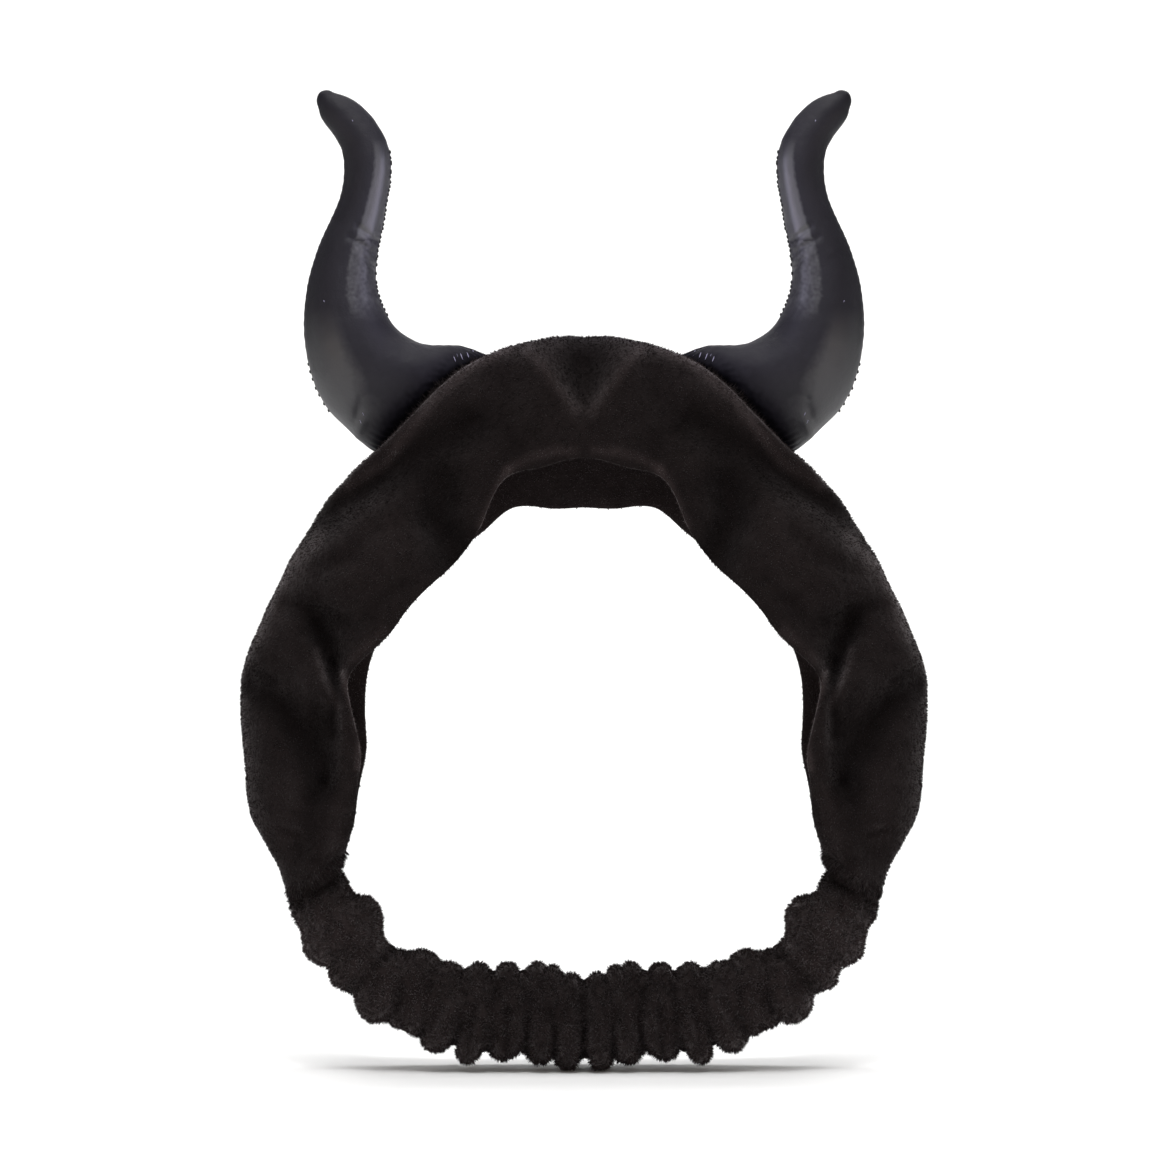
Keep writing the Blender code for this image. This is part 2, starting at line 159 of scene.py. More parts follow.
# The gathers' bumps and notches on the loop's inner and outer profile, in the same terms
GATHER_LUMPS = (
    Crease(5.0, -1.6, ((56, -151), (58, -153))),
    Crease(3.2, -1.2, ((44, -164), (43, -164))),
    Crease(2.6, -1.2, ((28, -168), (29, -168))),
    Crease(2.6, -1.2, ((20, -168), (21, -168))),
    Crease(3.2, -1.5, ((10, -167), (11, -167))),
    Crease(1.8, 1.2, ((52, -163), (53, -164))),
    Crease(1.4, 1.2, ((31, -170), (32, -171))),
    Crease(1.2, 1.2, ((24, -170), (24, -171))),
    Crease(1.4, 1.4, ((16, -170), (16, -171))),
    Crease(1.6, 1.2, ((0, -170), (0, -171))),
    Crease(3.0, -0.8, ((74, -164), (75, -165))),
    Crease(3.0, -1.0, ((65, -172), (66, -172))),
    Crease(3.6, -1.0, ((55, -182), (56, -183))),
    Crease(3.6, -1.0, ((40, -190), (41, -190))),
    Crease(2.4, -1.0, ((32, -193), (32, -192))),
    Crease(3.0, -1.0, ((21, -192), (22, -192))),
    Crease(3.0, -1.0, ((5, -194), (6, -194))),
    Crease(1.5, 1.2, ((48, -185), (48, -184))),
    Crease(1.3, 1.4, ((35, -189), (35, -188))),
    Crease(1.2, 1.3, ((27, -191), (27, -190))),
    Crease(1.3, 1.3, ((15, -191), (15, -190))),
    Crease(1.4, 1.5, ((0, -192), (0, -191))),
)
# The horns'
HORN_CREASES = (
    Crease(0.8, 0.5, ((61, 32), (56, 28))),
    Crease(0.8, 0.4, ((63, 29), (57, 25))),
    Crease(0.8, 0.4, ((59, 23), (55, 20))),
    Crease(1.2, 0.4, ((64, -24), (61, -20), (60, -15))),
    Crease(1.6, -0.5, ((62, -25), (60, -21))),
)

# A solid's corners nearer than this are one, and triangles are joined up to this angle
WELD = 0.02 * MM
JOINED_UP_TO = math.radians(60)
# The front of the band whose faces are cut finer: in degrees from the loop's top, and how far
# forwards a face has to look
FINER_FROM = 12
FINER_TO = 118
FINER_FACING = -0.1

# The stuffed horns' seams, down the inner and the outer side
SEAM_WIDTH = 0.8 * MM
SEAM_DEPTH = 0.45 * MM
SEAM_TOP = 62.0 * MM
SEAM_FADE = 8.0 * MM
# The seams' middle line is found in this many slices, and a seam is this much longer than its rise
SEAM_SLICES = 30
SEAM_SLANT = 1.4
# The puckers beside the seams
STITCH_PITCH = 2.0 * MM
PUCKER_HEIGHT = 0.05 * MM
PUCKER_REACH = 3.0 * MM
# The beads of thread along the seams: from where to where and how far apart, in millimetres, and on
# the inner or the outer side
Beads = namedtuple("Beads", "low high pitch inner")
SEAM_BEADS = (Beads(9, 53, 1.25, True), Beads(-18, -5, 2.1, False))
BEAD_LENGTH = 1.2 * MM
BEAD_THICK = 0.8 * MM
BEAD_FORWARD = 0.4 * MM
BEAD_LEVEL = 0.7 * MM
# Hand stitches at the foot and loose thread ends: across and up from the band's inner face at the
# top, and their length, all in millimetres
Stitch = namedtuple("Stitch", "across up length")
HAND_STITCHES = (
    Stitch(34.8, -3.8, 1.8), Stitch(33.9, -3.4, 2.4), Stitch(33.0, -3.0, 2.2),
    Stitch(32.2, -2.7, 2.5), Stitch(31.4, -2.4, 2.2), Stitch(30.6, -2.0, 2.4),
    Stitch(29.8, -1.8, 2.0), Stitch(29.0, -1.5, 1.6), Stitch(62.4, 60.6, 0.5),
    Stitch(69.8, 11.6, 0.6), Stitch(60.2, -20.6, 1.2), Stitch(59.4, -18.6, 1.0),
)
# Their thread, how far they slant for their length, and where in front of the object they are
# looked for from, in metres
HAND_STITCH_THICK = 0.24 * MM
HAND_STITCH_SLANT = 0.4
IN_FRONT = -0.1
# The edge between the front and the inner face, where the stuffing presses the cloth into a plane:
# which way it faces on the right horn, how high it stands and how wide it is
EDGE_FACING = (-0.62, -0.78, 0.05)
EDGE_LIFT = 0.5 * MM
EDGE_SPREAD = math.radians(16)
# The blunt corner of the tip: which way it faces on the right horn, how high it stands, how sharp it
# is, and where on the horn it starts
TIP_FACING = (0.63, 0, 0.77)
TIP_LIFT = 1.5 * MM
TIP_SHARPNESS = 1.5
TIP_FROM = 61 * MM
TIP_FADE = 3 * MM
# Pleats where the horn's foot is drawn together by its stitching: how far they reach, how many and
# how high they are, and the gaps to the band that the foot's rim lies in and that they start from
FOOT_REACH = 3.2 * MM
FOOT_PLEATS = 60
FOOT_PLEAT_HEIGHT = 0.22 * MM
FOOT_RIM = 1.0 * MM
FOOT_PLEATS_FROM = 0.6 * MM

# How strongly the coated cloth shines, a painted highlight: most on the inner face, less where
# faces look up, and dull in the puckered foot, partly as painted shade
PAINTED_COAT_SHINE = "taut_cloth"
SHINE_PLAIN = 0.21
SHINE_INNER = 1.00
SHINE_OUTER = 0.68
SHINE_LOST_UPWARDS = 0.7
SHINE_FOOT = 0.02
DULL_REACH = 7.5 * MM
# The shiny strip on the inner face, a painted highlight: how far inwards a face has to look for it,
# how much further where the strip narrows upwards, how ragged and how sharp its edge is, and how it fades
# to the back
STRIP_FROM = 0.12
STRIP_NARROWS = 0.16
STRIP_RAGS = 0.06
STRIP_SHARPNESS = 9
STRIP_KEPT = 0.9
STRIP_LOST_BEHIND = 2
# The strip's heights: it starts rough, is smooth and narrows from one height on, and ends at another
STRIP_LOW = 6 * MM
STRIP_SMOOTH = 28 * MM
STRIP_TOP = 56 * MM
STRIP_FADE = 6 * MM
STRIP_NARROWING = 24 * MM
# How broken up its rough part is: its mean and its spread
STRIP_BROKEN = (0.55, 0.7)
# The painted shine on the outer bulge: how its edge lies, how ragged and sharp it is, and its upper end
BULGE_FROM = 0.02
BULGE_RAGS = 0.05
BULGE_SHARPNESS = 5
BULGE_TOP = 10 * MM
# The raggedness of both, in full heights of their edges
SHINE_RAGS = (Waves(2.2 * MM, 0.5), Waves(0.9 * MM, 0.5))
# The crevice where the horn's foot dips into the plush: how much darker it is, how far it reaches,
# and how ragged its edge is
FOOT_SHADE = "foot_shade"
CREVICE_SHADE = 0.85
CREVICE_REACH = 3.4 * MM
CREVICE_RAGS = (Waves(1.4 * MM, 0.5),)

# Painted light and shade on the pile, a factor on its colour and its sheen, 1 being the plain cloth:
# painted shade in a dent, painted highlight on a ridge and in the light strokes, for each millimetre of
# their depth, and most at its tips as a painted sheen
PAINTED_PILE_LIGHT = "brushed_pile"
PAINTED_SHADE_PER_DENT = 0.13
PAINTED_LIGHT_RANGE = (0.60, 2.8)
PAINTED_TIP_SHEEN = 1.5
# The same at the neck, the painted sheen that sideways faces add to it and the painted light that
# lifts the far half's shaded inner face, and how far from the neck it blends
PAINTED_LIGHT_AT_NECK = 1.05
PAINTED_SIDE_SHEEN = 0.9
PAINTED_FAR_FACE_LIGHT = 1.1
NECK_SHADE = 9.0 * MM
# The same on the gathered back's inner and outer edge, where the outer is painted lighter, in the
# fringe and in the tufts at the neck
PAINTED_BACK_INNER_LIGHT = 1.25
PAINTED_BACK_OUTER_LIGHT = 2.1
PAINTED_FRINGE_LIGHT = 0.8
PAINTED_TUFT_LIGHT = 1.3

# The gathered back's own folds, which run round the tube: how far apart and how high they are, how
# far they wander, and the share of their height that is left on the tube's inner side
FOLD_PITCH = 4.2 * MM
FOLD_HEIGHT = 0.8 * MM
FOLD_TWIST = 0.9
FOLD_LEAST = 0.15
# The gathers are evened out on the faces that look forwards, inside a line this far from the middle
EASED_ROUNDS = 60
EASED_FACING = -0.35
EASED_OVER = -2.5 * MM

# The pile: its tufts' length and width, how far they lean along the nap and at random, and how
# far they lean together in clumps of a size
Pile = namedtuple("Pile", "count length width lean wild clump clumping")
BAND_PILE = Pile(195000, 0.75 * MM, 0.36 * MM, 0.55, 0.22, 4.0 * MM, 0.5)
BACK_PILE = Pile(160000, 1.5 * MM, 0.42 * MM, 0.15, 0.30, 1.9 * MM, 2.0)
NECK_TUFTS = Pile(9000, 2.2 * MM, 0.42 * MM, 1.3, 0.30, 2.0 * MM, 0.9)
FOOT_FRINGE = Pile(14000, 3.4 * MM, 0.42 * MM, 0.0, 0.25, 2.0 * MM, 0.5)
# How far from the band's lip the tufts grow, and how far from the horns the fringe does, how far
# behind their surface, and down to which height
NECK_TUFTS_REACH = 3.0 * MM
FRINGE_REACH = 4.0 * MM
FRINGE_TUCK = 0.8 * MM
FRINGE_LOWEST = -60 * MM
# How unequal the blades are and how deep their roots sit, as shares of their length, and how far
# the cloth lies under the pile
BLADE_SHARES = (0.6, 1.15)
ROOT_DEPTH = 0.15
PILE_INSET = 0.6 * MM

# The paper sweep that it stands on: how far it reaches, the radius and the steps of its bend, and
# its height behind
SWEEP_FRONT = 0.9
SWEEP_BACK = 0.9
SWEEP_HALF_WIDTH = 0.9
SWEEP_BEND = 0.6
SWEEP_BEND_STEPS = 24
SWEEP_HEIGHT = 2.0
# How strongly the white room beyond the paper lights the object, and how bright the camera sees it
ROOM_LIGHT = 0.12
ROOM_WHITE = 1.0
# The softboxes, in metres and watts, and the angle in degrees that each spreads its light over. The
# horns' pair stands close to them and lights the strips on their inner faces.
Softbox = namedtuple("Softbox", "name place size power colour aim spread")
MIDDLE = (0, 0, -0.06)
SOFTBOXES = (
    Softbox("overhead", (0, -0.4, 1.1), (1.1, 1.3), 14.5, "#ffffff", MIDDLE, 180),
    Softbox("high_front", (0, -0.6, 0.9), (0.3, 0.2), 3.5, "#ffffff", MIDDLE, 180),
    Softbox("low_front", (0, -1.0, -0.12), (0.9, 0.12), 0.7, "#ffffff", (0, 0, -0.17), 180),
    Softbox("left_low", (-0.75, -0.75, -0.02), (0.3, 0.3), 1.0, "#ffecd8", MIDDLE, 180),
    Softbox("right_low", (0.75, -0.75, -0.02), (0.3, 0.3), 1.0, "#ffecd8", MIDDLE, 180),
    Softbox("left_rim", (-0.8, 0.05, 0.12), (0.5, 0.4), 0.5, "#f2f4f0", MIDDLE, 180),
    Softbox("right_rim", (0.8, 0.05, 0.12), (0.5, 0.4), 0.5, "#f2f4f0", MIDDLE, 180),
    Softbox(
        "horns_left", (-0.001, -0.035, 0.04), (0.07, 0.07), 0.021, "#cccae8", (-0.06, 0, 0.035), 100
    ),
    Softbox(
        "horns_right", (0.001, -0.035, 0.04), (0.07, 0.07), 0.021, "#cccae8", (0.06, 0, 0.035), 100
    ),
    Softbox("sweep_light", (0, 0.5, 1.6), (2.5, 0.5), 30, "#ffffff", (0, 1.5, 0.2), 180),
)

# The cloth's own unevenness
BAND_WAVES = (Waves(22 * MM, 0.8 * MM), Waves(9 * MM, 0.35 * MM))
BACK_WAVES = (Waves(9 * MM, 0.5 * MM), Waves(3.4 * MM, 0.3 * MM))
HORN_WAVES = (Waves(16 * MM, 0.5 * MM), Waves(5 * MM, 0.12 * MM), Waves(1.6 * MM, 0.03 * MM))

# The Mix node's output for colours
MIXED_COLOUR = 2


def linear(hex_colour):
    """An sRGB hex colour as linear RGBA."""
    parts = [int(hex_colour[i : i + 2], 16) / 255 for i in (1, 3, 5)]
    return (*[c / 12.92 if c <= 0.04045 else ((c + 0.055) / 1.055) ** 2.4 for c in parts], 1)


def add_node(tree, kind, inputs=None, **settings):
    """A shader node with its settings; an input is a value, or an output that is linked to it."""
    made = tree.nodes.new(kind)
    for name, value in settings.items():
        setattr(made, name, value)
    for name, value in (inputs or {}).items():
        if isinstance(value, bpy.types.NodeSocket):
            tree.links.new(value, made.inputs[name])
        else:
            made.inputs[name].default_value = value
    return made


def start_material(name, roughness):
    """A material with only its Principled shader, and the place on the object for its patterns."""
    material = bpy.data.materials.new(name)
    material.use_nodes = True
    tree = material.node_tree
    shader = tree.nodes["Principled BSDF"]
    shader.inputs["Roughness"].default_value = roughness
    place = add_node(tree, "ShaderNodeTexCoord").outputs["Object"]
    return material, tree, shader, place


def cells_per_metre(size):
    """A noise texture's scale for features of a real size."""
    return 1.0 / size


def plush(name, dark, light):
    """Polyester velour: a dense cut pile, near black face on, with a pale sheen where it is grazed."""
    material, tree, shader, place = start_material(name, 0.9)
    shader.inputs["Specular IOR Level"].default_value = 0.05
    shader.inputs["Sheen Roughness"].default_value = 0.5
    shader.inputs["Sheen Tint"].default_value = linear("#b0aaac")
    nap_and_painted_light = add_node(
        tree,
        "ShaderNodeTexNoise",
        {"Vector": place, "Scale": cells_per_metre(7 * MM), "Detail": 5.0, "Roughness": 0.65},
    )
    shade = add_node(
        tree,
        "ShaderNodeMix",
        {"Factor": nap_and_painted_light.outputs["Fac"], "A": linear(dark), "B": linear(light)},
        data_type="RGBA",
    )
    sheen = add_node(
        tree,
        "ShaderNodeMapRange",
        {
            "Value": nap_and_painted_light.outputs["Fac"],
            "From Min": 0.35,
            "From Max": 0.65,
            "To Min": 0.12,
            "To Max": 0.23,
        },
    )
    # The pile's painted light and shade, which scales its sheen and its colour
    painted_light_node = add_node(tree, "ShaderNodeAttribute", attribute_name=PAINTED_PILE_LIGHT)
    painted_sheen_weight = add_node(
        tree,
        "ShaderNodeMath",
        {0: sheen.outputs["Result"], 1: painted_light_node.outputs["Fac"]},
        operation="MULTIPLY",
    )
    tree.links.new(painted_sheen_weight.outputs["Value"], shader.inputs["Sheen Weight"])
    painted_lit_colour = add_node(
        tree,
        "ShaderNodeVectorMath",
        {"Vector": shade.outputs[MIXED_COLOUR], "Scale": painted_light_node.outputs["Fac"]},
        operation="SCALE",
    )
    tree.links.new(painted_lit_colour.outputs["Vector"], shader.inputs["Base Color"])
    tufts = add_node(
        tree,
        "ShaderNodeTexNoise",
        {"Vector": place, "Scale": cells_per_metre(0.9 * MM), "Detail": 3.0},
    )
    bump = add_node(
        tree,
        "ShaderNodeBump",
        {"Height": tufts.outputs["Fac"], "Strength": 0.8, "Distance": 0.4 * MM},
    )
    tree.links.new(bump.outputs["Normal"], shader.inputs["Normal"])
    return material


def coated_satin(name):
    """Satin with a thin polyurethane coat: charcoal with a violet cast and a soft, broad gloss."""
    material, tree, shader, place = start_material(name, 0.5)
    shader.inputs["Specular IOR Level"].default_value = 0.35
    shader.inputs["Sheen Weight"].default_value = 0.03
    shader.inputs["Sheen Roughness"].default_value = 0.35
    shader.inputs["Sheen Tint"].default_value = linear("#8f8aa6")
    cloudy = add_node(
        tree,
        "ShaderNodeTexNoise",
        {"Vector": place, "Scale": cells_per_metre(11 * MM), "Detail": 4.0},
    )
    shade = add_node(
        tree,
        "ShaderNodeMix",
        {"Factor": cloudy.outputs["Fac"], "A": linear("#151419"), "B": linear("#1f1d24")},
        data_type="RGBA",
    )
    crevice = add_node(tree, "ShaderNodeAttribute", attribute_name=FOOT_SHADE)
    shaded = add_node(
        tree,
        "ShaderNodeVectorMath",
        {"Vector": shade.outputs[MIXED_COLOUR], "Scale": crevice.outputs["Fac"]},
        operation="SCALE",
    )
    tree.links.new(shaded.outputs["Vector"], shader.inputs["Base Color"])
    # The coat's specular level is its painted shine, with the painted shade of the crevice in it
    painted_shine_node = add_node(tree, "ShaderNodeAttribute", attribute_name=PAINTED_COAT_SHINE)
    tree.links.new(painted_shine_node.outputs["Fac"], shader.inputs["Specular IOR Level"])
    gloss = add_node(
        tree,
        "ShaderNodeMapRange",
        {"Value": cloudy.outputs["Fac"], "To Min": 0.42, "To Max": 0.6},
    )
    tree.links.new(gloss.outputs["Result"], shader.inputs["Roughness"])
    grain = add_node(
        tree,
        "ShaderNodeTexNoise",
        {"Vector": place, "Scale": cells_per_metre(0.6 * MM), "Detail": 4.0, "Roughness": 0.6},
    )
    creases = add_node(
        tree,
        "ShaderNodeTexVoronoi",
        {"Vector": place, "Scale": cells_per_metre(3.5 * MM)},
        feature="DISTANCE_TO_EDGE",
    )
    relief = add_node(
        tree,
        "ShaderNodeMath",
        {0: creases.outputs["Distance"], 1: grain.outputs["Fac"]},
        operation="ADD",
    )
    bump = add_node(
        tree, "ShaderNodeBump", {"Height": relief.outputs["Value"], "Strength": 0.3, "Distance": 0.25 * MM}
    )
    tree.links.new(bump.outputs["Normal"], shader.inputs["Normal"])
    return material


def plain_cloth(name, colour, roughness):
    """Woven narrow goods, such as elastic and sewing thread: matt, with a fine rib across."""
    material, tree, shader, place = start_material(name, roughness)
    shader.inputs["Base Color"].default_value = linear(colour)
    ribs = add_node(
        tree,
        "ShaderNodeTexWave",
        {"Vector": place, "Scale": cells_per_metre(6 * MM), "Distortion": 0.4},
    )
    bump = add_node(
        tree, "ShaderNodeBump", {"Height": ribs.outputs["Fac"], "Strength": 0.4, "Distance": 0.2 * MM}
    )
    tree.links.new(bump.outputs["Normal"], shader.inputs["Normal"])
    return material


def white_paper(name):
    """Matt background paper off the roll: an even white with no gloss."""
    material, _, shader, _ = start_material(name, 0.9)
    shader.inputs["Base Color"].default_value = linear("#fafafa")
    return material


def new_object(name, data):
    """An object at the origin, linked to the scene."""
    made = bpy.data.objects.new(name, data)
    bpy.context.collection.objects.link(made)
    return made


def finer_copy(node, name, levels):
    """A smooth, finer mesh object of a CAD node's own shape, with its modifiers applied."""
    mesh = bmesh.new()
    mesh.from_mesh(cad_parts[node].data)
    bmesh.ops.remove_doubles(mesh, verts=mesh.verts, dist=WELD)
    bmesh.ops.join_triangles(
        mesh, faces=mesh.faces, angle_face_threshold=JOINED_UP_TO, angle_shape_threshold=math.pi
    )
    data = bpy.data.meshes.new(name)
    mesh.to_mesh(data)
    mesh.free()
    piece = new_object(name, data)
    smoother = piece.modifiers.new("Smoother", "SUBSURF")
    smoother.levels = smoother.render_levels = levels
    evaluated = piece.evaluated_get(bpy.context.evaluated_depsgraph_get())
    smoothed = bpy.data.meshes.new_from_object(evaluated)
    piece.modifiers.clear()
    piece.data = smoothed
    smoothed.shade_smooth()
    return piece


def ease_front(piece, rounds):
    """Evens out the gathers on the upper half of the front, where the pile hides them."""
    places, normals = places_and_normals(piece)
    _, radii = loop_angles(places)
    chosen = (normals[:, 1] < EASED_FACING) & (radii < LOOP_MIDDLE_LINE + EASED_OVER)
    mesh = bmesh.new()
    mesh.from_mesh(piece.data)
    mesh.verts.ensure_lookup_table()
    eased = [mesh.verts[i] for i in np.flatnonzero(chosen)]
    axes = {"use_axis_x": True, "use_axis_y": True, "use_axis_z": True}
    for _ in range(rounds):
        bmesh.ops.smooth_vert(mesh, verts=eased, factor=0.5, **axes)
    mesh.to_mesh(piece.data)
    mesh.free()


def refine_front(piece, low, high):
    """Cuts the faces that look forwards, between two angles of the loop, into four."""
    mesh = bmesh.new()
    mesh.from_mesh(piece.data)
    chosen = set()
    for face in mesh.faces:
        centre = face.calc_center_median() - LOOP_CENTRE
        angle = math.degrees(math.atan2(abs(centre.x), centre.z))
        if low < angle < high and face.normal.y < FINER_FACING:
            chosen.update(face.edges)
    edges = [edge for edge in mesh.edges if edge in chosen]
    bmesh.ops.subdivide_edges(mesh, edges=edges, cuts=1, use_grid_fill=True, smooth=0.0)
    mesh.to_mesh(piece.data)
    mesh.free()
    piece.data.shade_smooth()


def places_and_normals(piece):
    """The piece's vertices and their normals, as arrays."""
    count = len(piece.data.vertices)
    places, normals = np.empty(count * 3), np.empty(count * 3)
    piece.data.vertices.foreach_get("co", places)
    piece.data.vertices.foreach_get("normal", normals)
    return places.reshape(-1, 3), normals.reshape(-1, 3)


def put_places(piece, places):
    """Moves the piece's vertices to their new places."""
    piece.data.vertices.foreach_set("co", places.ravel())
    piece.data.update()


def wave_heights(places, waves, seed):
    """The height of a cloth's own unevenness at each place, the same on both halves."""
    heights = np.zeros(len(places))
    for number, wave in enumerate(waves):
        shift = Vector((seed + 7.1 * number, 3.3 * seed, 0))
        for i, (x, y, z) in enumerate(places):
            heights[i] += wave.height * noise.noise(Vector((abs(x), y, z)) / wave.size + shift)
    return heights


def crease_depths(places, creases):
    """How deep the creases are at each place as seen from the front, the same on both halves."""
    spots = np.stack((np.abs(places[:, 0]), places[:, 2]), axis=1) / MM
    depths = np.zeros(len(places))
    for crease in creases:
        route = np.array(crease.route, float)
        nearest = np.full(len(spots), np.inf)
        for start, end in zip(route, route[1:]):
            run = end - start
            share = np.clip((spots - start) @ run / (run @ run), 0, 1)
            nearest = np.minimum(nearest, np.linalg.norm(spots - start - share[:, None] * run, axis=1))
        depths += crease.depth * MM * np.exp(-((nearest / crease.width) ** 2))
    return depths


def front_shares(places):
    """How fully each place is in the front half, which takes the creases."""
    return np.clip(FRONT_EDGE - places[:, 1] / FRONT_FADE, 0, 1)


def press_back(places, creases):
    """Presses the creases into the front half of a piece, both of its skins alike."""
    places[:, 1] += crease_depths(places, creases) * front_shares(places)


def loop_angles(places):
    """Each place's angle from the loop's top in degrees, and its distance from the loop's middle."""
    out = places - np.array(LOOP_CENTRE)
    return np.degrees(np.arctan2(np.abs(out[:, 0]), out[:, 2])), np.hypot(out[:, 0], out[:, 2])


def before_neck(places):
    """How far along the loop it is from each place to the neck; it is negative past the neck."""
    angles, radii = loop_angles(places)
    return np.radians(NECK_ANGLE - angles) * radii


def fold_heights(places):
    """The gathered back's folds, which run round the tube and wander as they go."""
    angles, radii = loop_angles(places)
    heights = np.zeros(len(places))
    for i, (angle, radius, (_, y, _)) in enumerate(zip(angles, radii, places)):
        turn = math.atan2(y, radius - LOOP_MIDDLE_LINE)
        along = math.radians(angle) * LOOP_MIDDLE_LINE / FOLD_PITCH
        spot = Vector((along, math.sin(turn) * FOLD_TWIST, math.cos(turn) * FOLD_TWIST))
        outer = max(FOLD_LEAST, 0.5 + 0.5 * math.cos(turn))
        heights[i] = FOLD_HEIGHT * outer * (0.5 - 2 * abs(noise.noise(spot)))
    return heights


def painted_side_sheen(normals):
    """Painted sheen: the pile on the faces that look sideways is made lighter."""
    return 1 + PAINTED_SIDE_SHEEN * (1 - np.abs(normals[:, 1])) ** 2 * np.abs(normals[:, 0])


def painted_band_light(places, normals):
    """The painted light and shade on the band's pile at each place."""
    # Painted shade in the creases' dents, painted highlight on their ridges and along the light strokes
    dents = crease_depths(places, BAND_CREASES + PAINTED_LIGHT_STROKES) / MM
    dents *= front_shares(places)
    values = np.clip(1 - dents * PAINTED_SHADE_PER_DENT, *PAINTED_LIGHT_RANGE)
    near = np.clip(1 - before_neck(places) / NECK_SHADE, 0, 1)
    # Painted light lifts the shaded inner face of the far half
    far_face = np.clip(places[:, 1] / FRONT_FADE, 0, 1) * np.clip(-normals[:, 1] * 2, 0, 1)
    values *= 1 + PAINTED_FAR_FACE_LIGHT * far_face
    return values * painted_side_sheen(normals) * (1 - (1 - PAINTED_LIGHT_AT_NECK) * near)


def painted_back_light(places, normals):
    """The painted light and shade on the gathered back's pile at each place."""
    _, radii = loop_angles(places)
    # The outer edge is painted lighter than the inner, and the dents are painted darker
    outwards = np.clip(0.5 + (radii - LOOP_MIDDLE_LINE) / CASING_WIDTH, 0, 1)
    dents = crease_depths(places, GATHER_CREASES) / MM
    values = PAINTED_BACK_INNER_LIGHT + (PAINTED_BACK_OUTER_LIGHT - PAINTED_BACK_INNER_LIGHT) * outwards
    near = np.clip(1 + before_neck(places) / NECK_SHADE, 0, 1)
    values *= np.clip(1 - dents * PAINTED_SHADE_PER_DENT, *PAINTED_LIGHT_RANGE) * painted_side_sheen(normals)
    return values + (PAINTED_LIGHT_AT_NECK - values) * near


def evenly_painted_light(value):
    """A function that paints the same light on the pile at every place."""
    return lambda places, normals: np.full(len(places), value)


def put_attribute(data, name, values):
    """One number for each vertex, which a material reads by its name."""
    data.attributes.new(name, "FLOAT", "POINT").data.foreach_set("value", values)


def scatter(piece, count, generator, part=None):
    """Points spread evenly over a piece's surface, or a part of it, with the normal at each."""
    piece.data.calc_loop_triangles()
    triangles = np.empty(len(piece.data.loop_triangles) * 3, np.int64)
    piece.data.loop_triangles.foreach_get("vertices", triangles)
    triangles = triangles.reshape(-1, 3)
    places, normals = places_and_normals(piece)
    corners = places[triangles]
    areas = np.linalg.norm(np.cross(corners[:, 1] - corners[:, 0], corners[:, 2] - corners[:, 0]), axis=1)
    if part is not None:
        areas *= part[triangles].all(1)
    chosen = generator.choice(len(triangles), count, p=areas / areas.sum())
    shares = generator.dirichlet((1, 1, 1), count)[..., None]
    spots = (corners[chosen] * shares).sum(1)
    ways = (normals[triangles[chosen]] * shares).sum(1)
    return spots, ways / np.linalg.norm(ways, axis=1)[:, None]


def grow_pile(piece, name, pile, nap_and_painted_light, material, seed, part=None):
    """Tufts of pile over a piece, one narrow blade each, lying along the nap."""
    generator = np.random.default_rng(seed)
    noise.seed_set(seed)
    spots, ways = scatter(piece, pile.count, generator, part)
    loose = generator.normal(size=(pile.count, 3)) * pile.wild
    loose += [noise.noise_vector(Vector(spot) / pile.clump) * pile.clumping for spot in spots]
    leaning = ways + along_loop(spots) * pile.lean + loose
    leaning /= np.linalg.norm(leaning, axis=1)[:, None]
    lengths = pile.length * generator.uniform(*BLADE_SHARES, (pile.count, 1))
    near_neck = np.clip(1 - before_neck(spots) / NECK_SHADE, 0, 1)
    longer = BACK_PILE.length * near_neck * generator.uniform(0, 1, pile.count)
    lengths = np.maximum(lengths, longer[:, None])
    across = np.cross(leaning, generator.normal(size=(pile.count, 3)))
    across *= pile.width / 2 / np.linalg.norm(across, axis=1)[:, None]
    roots = spots - ways * pile.length * ROOT_DEPTH
    blades = np.stack((roots - across, roots + across, roots + leaning * lengths), axis=1)
    faces = np.arange(pile.count * 3).reshape(-1, 3)
    data = bpy.data.meshes.new(name)
    data.from_pydata(blades.reshape(-1, 3).tolist(), [], faces.tolist())
    data.materials.append(material)
    # Each blade takes the painted light and shade of its spot, and more at its tip as a painted sheen
    put_attribute(data, PAINTED_PILE_LIGHT, (nap_and_painted_light(spots, ways)[:, None] * (1, 1, PAINTED_TIP_SHEEN)).ravel())
    made = new_object(name, data)
    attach(made, "root")


def along_loop(spots):
    """The direction round the loop, from its top down each side."""
    out = spots - np.array(LOOP_CENTRE)
    ways = np.stack((out[:, 2], np.zeros(len(out)), -out[:, 0]), axis=1)
    ways[out[:, 0] < 0] *= -1
    return ways / np.linalg.norm(ways, axis=1)[:, None]


def dress(piece, node, material):
    """Gives a finished soft piece its material and what the frame has to know of it."""
    piece.data.materials.clear()
    piece.data.materials.append(material)
    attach(piece, "root")
    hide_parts(node)


def add_pile(piece, pile, nap_and_painted_light, material, seed):
    """Covers a plush piece with its pile, both with the same painted light and shade."""
    put_attribute(piece.data, PAINTED_PILE_LIGHT, nap_and_painted_light(*places_and_normals(piece)))
    grow_pile(piece, piece.name + "_pile", pile, nap_and_painted_light, material, seed)


